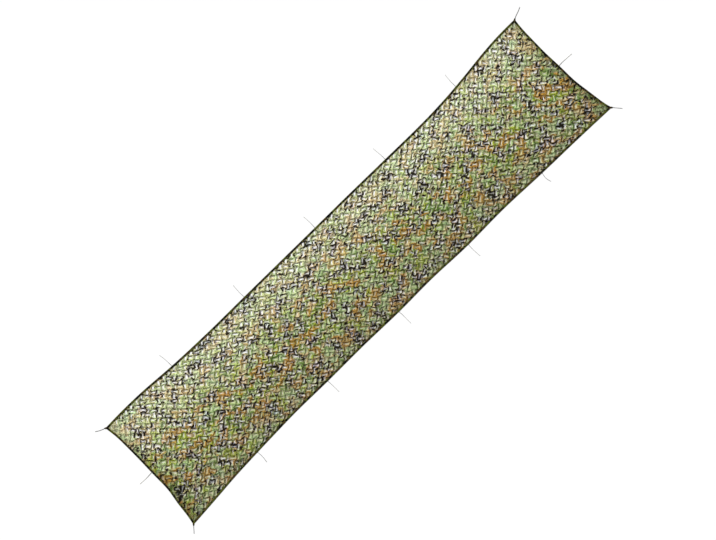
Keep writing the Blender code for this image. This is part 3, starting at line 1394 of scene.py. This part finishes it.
@dataclass
class EdgeTape:
    """One side's folded tape, the stitches through it and the tacks that hold its ties."""

    outline: Outline
    name: SideName
    ties: list[Vector]
    # Painted light: how much lighter this side's tape is painted.
    faded: float = 0.0
    station_gap: float = 0.014
    mitre_gap: float = 0.00015
    stitch_pitch: float = 0.0055
    stitch_length: float = 0.0042
    stitch_rows: tuple[float, ...] = (0.0042, 0.0164)
    under_height: float = 0.0002
    tack_stitches: int = 9
    tack_pitch: float = 0.0011
    tack_start: float = 0.0050
    tack_half: float = 0.0032
    tack_height: float = 0.0038
    tack_clear: float = 0.009
    tack_search: int = 4000
    swell_height: float = 0.0011
    swell_reach: float = 0.008
    unevenness: float = 0.00025
    uneven_size: float = 0.03
    lines: dict[float, EdgeLine] = field(init=False, default_factory=dict)

    def _line(self, inward: float) -> EdgeLine:
        """Return the side's edge moved in by a distance."""
        if inward not in self.lines:
            self.lines[inward] = self.outline.dense(self.name, inward)
        return self.lines[inward]

    def _share(self, share: float, inward: float) -> float:
        """Return a share of the edge, kept just clear of the next side's tape."""
        clear = self.mitre_gap / self._line(inward).length
        return clear + share * (1 - 2 * clear)

    def _swell(self, place: Vector) -> float:
        """Work out how much the roots of the ties swell the tape.

        Args:
            place: The place on the floor, in metres.

        Returns:
            The swelling there, in metres.
        """
        swell = 0.0
        for tie in self.ties:
            gap = (place - tie).length / self.swell_reach
            swell = max(swell, self.swell_height * math.exp(-(gap**2)))
        return swell

    def _place(self, share: float, inward: float, height: float, upper: bool) -> Place:
        """Return a point of the tape in space.

        Args:
            share: How far along the side, from 0 to 1.
            inward: How far in from the fold, in metres.
            height: How high in the section, in metres.
            upper: Whether it is in the upper layer.

        Returns:
            The point.
        """
        flat = self._line(inward).at(self._share(share, inward))
        if upper:
            height += self.unevenness * ripple(flat.x, flat.y, (self.uneven_size,) * 2, 2.0)
            height += self._swell(flat)
        return (flat.x, flat.y, height)

    def build(self) -> bpy.types.Object:
        """Build and dress the tape.

        Returns:
            The tape, closed all round.
        """
        kit = MeshKit("folded_tape_" + self.name.value)
        length = self._line(0.0).length
        stations = round(length / self.station_gap)
        girth = [0.0]
        for a, b in zip(TAPE_SECTION, TAPE_SECTION[1:]):
            girth.append(girth[-1] + math.hypot(b.inward - a.inward, b.height - a.height))
        rings = []
        for i in range(stations + 1):
            share = i / stations
            ring = []
            for point, round_it in zip(TAPE_SECTION, girth):
                place = self._place(share, point.inward, point.height, point.upper)
                ring.append(kit.add(place, (share * length, round_it), rub=point.rub, faded=self.faded))
            rings.append(ring)
        kit.tube(rings, turned=True)
        return kit.make(WovenTape().make())

    def sew(self) -> bpy.types.Object:
        """Build and dress the stitches of this side, above and below, with its ties' tacks.

        Returns:
            All the stitches, joined.
        """
        kit = MeshKit("stitching_" + self.name.value)
        for inward in self.stitch_rows:
            length = self._line(inward).length
            count = round(length / self.stitch_pitch)
            for i in range(count):
                middle = (i + 0.5) / count
                half = self.stitch_length / 2 / length
                for upper in (True, False):
                    height = TAPE_HEIGHT if upper else self.under_height
                    start = Vector(self._place(middle - half, inward, height, upper))
                    end = Vector(self._place(middle + half, inward, height, upper))
                    Stitch(start, end, upper).add_to(kit)
        for tie in self.ties:
            self._tack(kit, tie)
        return kit.make(SewingThread().make())

    def _tack(self, kit: MeshKit, tie: Vector) -> None:
        """Add the close row of stitches that holds one tie's root in the tape.

        Args:
            kit: The stitches so far.
            tie: Where the tie leaves the tape.
        """
        outer = self._line(0.0)
        shares = (i / self.tack_search for i in range(self.tack_search + 1))
        nearest = min(shares, key=lambda share: (outer.at(share) - tie).length)
        clear = self.tack_clear / outer.length
        nearest = clamp(nearest, clear, 1 - clear)
        half = self.tack_half / outer.length
        for i in range(self.tack_stitches):
            inward = self.tack_start + i * self.tack_pitch
            start = Vector(self._place(nearest - half, inward, self.tack_height, True))
            end = Vector(self._place(nearest + half, inward, self.tack_height, True))
            Stitch(start, end).add_to(kit)


@dataclass
class CornerTab:
    """The folded ends of two tapes round a corner tie's root, with the stitches that close them."""

    name: str
    root: Vector
    ahead: Vector
    back: float = 0.010
    reach: float = 0.013
    half_at_root: float = 0.0092
    half_at_tip: float = 0.0046
    height: float = 0.0052
    under: float = 0.0001
    edge_round: float = 0.0018
    parts: int = 22
    sides: int = 24
    flatness: float = 0.38
    crown: float = 0.8
    crowding: float = 9.0
    least_girth: float = 0.25
    stitch_rows: int = 4
    stitch_pitch: float = 0.0019
    stitch_back: float = 0.002
    stitch_sink: float = 0.0002
    stitch_reach: float = 0.62
    stitch_share: float = 0.85

    def _half_width(self, along: float) -> float:
        """Return half the tab's width at a distance along it, without its rounded ends."""
        share = ease((along + self.back) / (self.back + self.reach))
        return between(self.half_at_root, self.half_at_tip, share)

    def _girth(self, along: float) -> float:
        """Return how much of its section the tab has at a distance along it: its ends are round."""
        from_end = min(along + self.back, self.reach - along)
        return max(self.least_girth, math.sqrt(1 - (1 - clamp(from_end / self.edge_round)) ** 2))

    def build(self) -> bpy.types.Object:
        """Build and dress the tab.

        Returns:
            The tab, closed all round.
        """
        kit = MeshKit("corner_tab_" + self.name)
        beside = Vector((self.ahead.y, -self.ahead.x))
        middle = (self.height + self.under) / 2
        rings = []
        for i in range(self.parts + 1):
            share = i / self.parts
            share -= math.sin(2 * math.pi * share) / self.crowding
            along = -self.back + (self.back + self.reach) * share
            girth = self._girth(along)
            half = self._half_width(along) - self.edge_round * (1 - girth)
            ring = []
            for k in range(self.sides):
                angle = 2 * math.pi * k / self.sides
                across = math.copysign(abs(math.cos(angle)) ** self.flatness, math.cos(angle)) * half
                rise = math.copysign(abs(math.sin(angle)) ** self.crown, math.sin(angle))
                level = middle + rise * (self.height - self.under) / 2 * girth
                place = self.root + self.ahead * along + beside * across
                rub = clamp(abs(math.cos(angle)) ** 3 + (1 - girth))
                ring.append(kit.add((place.x, place.y, level), (along, across), rub=rub, faded=0.0))
            rings.append(ring)
        kit.tube(rings)
        return kit.make(WovenTape().make())

    def sew(self) -> bpy.types.Object:
        """Build and dress the rows of stitches across the tab.

        Returns:
            All the stitches, joined.
        """
        kit = MeshKit("stitching_corner_" + self.name)
        beside = Vector((self.ahead.y, -self.ahead.x, 0))
        first = self.root - self.ahead * self.stitch_back
        for row in range(self.stitch_rows):
            along = row * 2 * self.stitch_pitch
            middle = Vector((*(first + self.ahead * along), self.height - self.stitch_sink))
            half = self._half_width(along - self.stitch_back) * self.stitch_reach
            for k in (-1, 0, 1):
                start = middle + beside * (half * (2 * k - self.stitch_share) / 3)
                end = middle + beside * (half * (2 * k + self.stitch_share) / 3)
                Stitch(start, end).add_to(kit)
        return kit.make(SewingThread().make())


class TieTone(Enum):
    """How pale a tie's braid is painted, from 0 to 1, at its root and at its free end."""

    EVEN = (0.0, 0.05)
    FADED = (0.0, 0.45)
    # Painted light: the ties at the net's ends are painted pale against the shadow that the far side lamp
    # casts beside them.
    LIT_PALE = (0.30, 1.10)


def tone_of(tie_name: str) -> TieTone:
    """Say how pale a tie is painted: those at the ends are painted light, those at the corners are not.

    Args:
        tie_name: The tie's name.

    Returns:
        How pale it is painted.
    """
    if tie_name in ("tie_left", "tie_right"):
        return TieTone.LIT_PALE
    if tie_name in ("tie_near_1", "tie_near_5") or tie_name.endswith(("_left", "_right")):
        return TieTone.EVEN
    return TieTone.FADED


@dataclass
class TieCord:
    """A braided tie cord, from where it leaves the edge tape to its melted free end."""

    name: str
    route: tuple[Point, ...]
    diameter: float = 0.004
    ring_gap: float = 0.00125
    sides: int = 16
    strands: int = 4
    braid_lay: float = 0.009
    relief: float = 0.00018
    path_gap: float = 0.008
    pale_start: float = 0.15
    pale_run: float = 0.50
    melted_share: float = 0.45
    blunt: float = 0.35

    def _centre_line(self, gap: float) -> list[Vector]:
        """Find points along the cord's smooth path on the floor.

        Args:
            gap: About how far apart they are, in metres.

        Returns:
            The points, from the root to the free end.
        """
        knots = [0.0]
        for (x0, y0), (x1, y1) in zip(self.route, self.route[1:]):
            knots.append(knots[-1] + math.hypot(x1 - x0, y1 - y0))
        count = max(2, round(knots[-1] / gap)) + 1
        places = [knots[-1] * i / (count - 1) for i in range(count)]
        xs = smooth_through(knots, [x for x, _ in self.route], places)
        ys = smooth_through(knots, [y for _, y in self.route], places)
        return [Vector((x, y, self.diameter / 2)) for x, y in zip(xs, ys)]

    @staticmethod
    def _length(points: list[Vector]) -> float:
        """Return the length of a line of points."""
        return sum((b - a).length for a, b in zip(points, points[1:]))

    def build(self, finish: bpy.types.Material) -> bpy.types.Object:
        """Args:
            finish: The cord's material.

        Returns:
            The cord.
        """
        kit = MeshKit("cord_" + self.name)
        line = self._centre_line(self.ring_gap)
        path = self._centre_line(self.path_gap)
        length = self._length(path)
        root_pale, tip_pale = tone_of(self.name).value
        rings = []
        for i, centre in enumerate(line):
            ahead = line[min(i + 1, len(line) - 1)] - line[max(i - 1, 0)]
            beside = Vector((ahead.y, -ahead.x, 0)).normalized()
            share = i / (len(line) - 1)
            pale = between(root_pale, tip_pale, ease((share - self.pale_start) / self.pale_run))
            girth = self._girth((1 - share) * length)
            rings.append(self._ring(kit, centre, beside, i * self.ring_gap, pale, girth))
        kit.tube(rings)
        piece = kit.make(finish)
        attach(piece, BODY)
        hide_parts(self.name)
        return piece

    def _girth(self, from_end: float) -> float:
        """Work out the cord's radius: its melted end is rounded off.

        Args:
            from_end: How far it is to the free end, in metres.

        Returns:
            The radius as a share of the full one.
        """
        melted = self.diameter * self.melted_share
        if from_end >= melted:
            return 1.0
        return max(self.blunt, math.sqrt(1 - (1 - from_end / melted) ** 2))

    def _ring(
        self, kit: MeshKit, centre: Vector, beside: Vector, along: float, pale: float, girth: float
    ) -> list[int]:
        """Add one ring of the braid.

        Args:
            kit: The cord so far.
            centre: The ring's middle.
            beside: The level direction across the cord.
            along: How far along the cord it is, in metres.
            pale: How pale the braid is painted there, from 0 to 1.
            girth: The ring's radius as a share of the full one.

        Returns:
            The ring's points.
        """
        ring = []
        for k in range(self.sides):
            angle = 2 * math.pi * k / self.sides
            turn = 2 * math.pi * along / self.braid_lay
            left = math.cos(self.strands * angle + turn)
            right = math.cos(self.strands * angle - turn)
            radius = (self.diameter / 2 - self.relief * (0.5 - 0.5 * max(left, right))) * girth
            place = centre + beside * radius * math.cos(angle)
            height = self.diameter / 2 + radius * math.sin(angle)
            around = self.diameter / 2 * angle
            ring.append(kit.add((place.x, place.y, height), (along, around), pale=pale))
        return ring


@dataclass
class Studio:
    """The pale floor, the soft light and the camera straight above."""

    floor_half: float = 60.0
    floor_paint: Paint = Paint(211, 211, 211)
    view_width: float = 7.353
    lens: float = 100.0
    sensor: float = 36.0
    centre: Point = (0.0105, -0.0150)
    turn: float = -45.0
    sight: float = 200.0
    sun_strength: float = 6.7
    sun_height: float = 35.0
    sun_spread: float = 14.0
    sky_strength: float = 0.34

    def place_camera(self) -> None:
        """Put the camera straight above, turned so that the net runs along the view's diagonal."""
        data = bpy.data.cameras.new("camera")
        data.lens = self.lens
        data.sensor_width = self.sensor
        data.clip_end = self.sight
        camera = bpy.data.objects.new("camera", data)
        height = self.view_width * self.lens / self.sensor
        camera.location = (self.centre[0], self.centre[1], height)
        camera.rotation_euler = (0, 0, math.radians(self.turn))
        bpy.context.scene.collection.objects.link(camera)
        bpy.context.scene.camera = camera

    def lay_floor(self) -> None:
        """Lay a wide pale floor just under the net."""
        half = self.floor_half
        mesh = bpy.data.meshes.new("studio_floor")
        corners = [(-half, -half, 0), (half, -half, 0), (half, half, 0), (-half, half, 0)]
        mesh.from_pydata(corners, [], [(0, 1, 2, 3)])
        material = bpy.data.materials.new("studio_floor")
        material.use_nodes = True
        shader = material.node_tree.nodes["Principled BSDF"]
        shader.inputs["Base Color"].default_value = self.floor_paint.linear()
        shader.inputs["Roughness"].default_value = 0.9
        shader.inputs["Specular IOR Level"].default_value = 0.1
        mesh.materials.append(material)
        floor = bpy.data.objects.new("studio_floor", mesh)
        bpy.context.scene.collection.objects.link(floor)

    def light(self) -> None:
        """Light the net with a broad low lamp on its far side and an even pale sky."""
        scene = bpy.context.scene
        scene.view_settings.view_transform = "Standard"
        sun = bpy.data.lights.new("far_side_lamp", "SUN")
        sun.energy = self.sun_strength
        sun.angle = math.radians(self.sun_spread)
        lamp = bpy.data.objects.new("far_side_lamp", sun)
        lamp.rotation_euler = (math.radians(self.sun_height - 90), 0, 0)
        scene.collection.objects.link(lamp)
        world = bpy.data.worlds.new("studio_sky")
        world.use_nodes = True
        sky = world.node_tree.nodes["Background"]
        sky.inputs["Color"].default_value = (1.0, 1.0, 1.0, 1.0)
        sky.inputs["Strength"].default_value = self.sky_strength
        scene.world = world


def side_of(tie_name: str) -> SideName | None:
    """Return the side whose tape holds a tie, by the tie's name, or None for a corner's tie."""
    return None if tie_name in CORNER_TIES.values() else SideName(tie_name.split("_")[1])


def corner_tab(outline: Outline, side: SideName) -> CornerTab:
    """Lay out a corner's tab, half way between the corner's own line and its tie's.

    Args:
        outline: The net's edge.
        side: The side that starts at the corner.

    Returns:
        The tab.
    """
    name = CORNER_TIES[side]
    root, ahead = Vector(TIE_ROUTES[name][0]), Vector(TIE_ROUTES[name][1])
    outward = -outline.corner_reach(side).normalized()
    return CornerTab(name.removeprefix("tie_"), root, (outward + (ahead - root).normalized()).normalized())


def report(piece: bpy.types.Object) -> None:
    """Report one finished piece."""
    log.info("%s: %d faces", piece.name, len(piece.data.polygons))


def main() -> None:
    """Build the net and its studio, and report each piece."""
    logging.basicConfig(level=logging.INFO, format="%(message)s")
    studio = Studio()
    studio.place_camera()
    braid = BraidedCord().make()
    for name, route in TIE_ROUTES.items():
        report(TieCord(name, route).build(braid))

    outline = Outline()
    for side in SideName:
        roots = [Vector(TIE_ROUTES[name][0]) for name in TIE_ROUTES if side_of(name) is side]
        tape = EdgeTape(outline, side, roots, faded=SIDE_TAPE_LIGHT[side])
        folded = tape.build()
        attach(folded, BODY)
        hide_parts("tape_" + side.value)
        report(folded)
        tab = corner_tab(outline, side)
        for piece in (tape.sew(), tab.build(), tab.sew()):
            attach(piece, BODY)
            report(piece)

    net = SlitNet(outline)
    panel = net.build()
    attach(panel, BODY)
    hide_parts("net_panel")
    report(panel)

    studio.lay_floor()
    studio.light()


if __name__ == "__main__":
    main()
